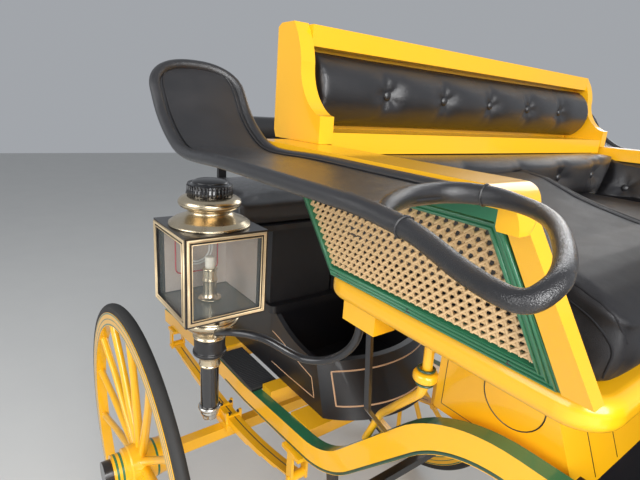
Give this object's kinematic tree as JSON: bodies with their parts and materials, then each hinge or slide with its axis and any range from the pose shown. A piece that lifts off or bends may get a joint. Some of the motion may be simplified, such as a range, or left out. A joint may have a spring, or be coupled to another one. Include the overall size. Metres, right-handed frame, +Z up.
{
  "type": "horse drawn carriage",
  "caption": "Four-wheeled horse drawn carriage with an open raised driver's seat, cane side panels, lamps, leather wings, a rear seat, leaf springs, a turning fore-carriage and hinged shafts",
  "frame": {"origin": "centre of the bounding box's underside, on the floor", "axes": "+X forward, +Y to the left, +Z up"},
  "size_m": [4.8401, 1.4932, 1.75],
  "materials": {
    "yellow_wood": "gloss yellow coach paint with fine green lines",
    "green_wood": "gloss dark green coach paint",
    "cane": "woven cane, clear varnish",
    "black_wood": "gloss black coach paint with a peach line",
    "yellow_iron": "gloss yellow coach paint",
    "black_iron": "gloss black paint",
    "black_leather": "polished black leather",
    "brass": "polished",
    "lamp_glass": "clear bevelled glass",
    "mat_rubber": "dark grey ribbed mat",
    "black_rubber": "solid rubber"
  },
  "bodies": {
    "carriage": {"back_ends": "yellow_wood", "back_pad": "black_leather", "back_rails": "yellow_wood", "back_squab": "black_leather", "brake_gear": "black_iron", "cane_frames": "green_wood", "cane_panels": "cane", "cross_bars": "yellow_wood", "dash": "black_leather", "driver_cushion": "black_leather", "front_footwell": "black_wood", "lamp_brackets": "black_iron", "lamp_brass": "brass", "lamp_cases": "black_iron", "lamp_glass": "lamp_glass", "lamp_tubes": "black_iron", "rear_axle": "yellow_iron", "rear_back_irons": "black_iron", "rear_back_pad": "black_leather", "rear_cushion": "black_leather", "rear_footwell": "black_wood", "rear_seat_board": "black_wood", "rear_seat_box": "black_wood", "rear_seat_frame": "black_wood", "rear_seat_riser": "black_leather", "rear_springs": "yellow_iron", "seat_back_panel": "black_wood", "seat_board": "yellow_wood", "seat_box": "yellow_wood", "seat_cushion": "black_leather", "seat_irons": "yellow_iron", "seat_side_left": "yellow_wood", "seat_side_right": "yellow_wood", "seat_stays": "black_iron", "side_squabs": "black_leather", "sills": "yellow_wood", "spring_clamps": "yellow_iron", "spring_irons": "yellow_iron", "step_boards": "black_wood", "step_mats": "mat_rubber", "top_bed": "yellow_wood", "wing_left": "black_leather", "wing_right": "black_leather"},
    "fore_carriage": {"lower_bed": "yellow_wood", "front_springs": "yellow_iron", "front_axle": "yellow_iron", "futchells": "yellow_wood", "splinter_bar": "yellow_wood"},
    "shafts": {"shafts": "yellow_wood", "shaft_cross_bar": "yellow_wood"},
    "rear_wheel_right": {"rear_wheel_right": "yellow_wood", "rear_tyre_right": "black_rubber"},
    "rear_wheel_left": {"rear_wheel_left": "yellow_wood", "rear_tyre_left": "black_rubber"},
    "front_wheel_right": {"front_wheel_right": "yellow_wood", "front_tyre_right": "black_rubber"},
    "front_wheel_left": {"front_wheel_left": "yellow_wood", "front_tyre_left": "black_rubber"}
  },
  "joints": [
    {"name": "steering", "type": "hinge", "parent": "carriage", "child": "fore_carriage", "pos_m": [-0.31714, 0, 0.8], "axis": [0, 0, 1], "range_deg": [-75, 75]},
    {"name": "shaft_hinge", "type": "hinge", "parent": "fore_carriage", "child": "shafts", "pos_m": [0.37286, 0, 0.74], "axis": [0, -1, 0], "range_deg": [0, 40]},
    {"name": "rear_wheel_right_spin", "type": "hinge", "parent": "carriage", "child": "rear_wheel_right", "pos_m": [-1.81714, -0.6065, 0.508], "axis": [0, 1, 0], "continuous": true},
    {"name": "rear_wheel_left_spin", "type": "hinge", "parent": "carriage", "child": "rear_wheel_left", "pos_m": [-1.81714, 0.6065, 0.508], "axis": [0, 1, 0], "continuous": true},
    {"name": "front_wheel_right_spin", "type": "hinge", "parent": "fore_carriage", "child": "front_wheel_right", "pos_m": [-0.31714, -0.564, 0.43], "axis": [0, 1, 0], "continuous": true},
    {"name": "front_wheel_left_spin", "type": "hinge", "parent": "fore_carriage", "child": "front_wheel_left", "pos_m": [-0.31714, 0.564, 0.43], "axis": [0, 1, 0], "continuous": true}
  ]
}
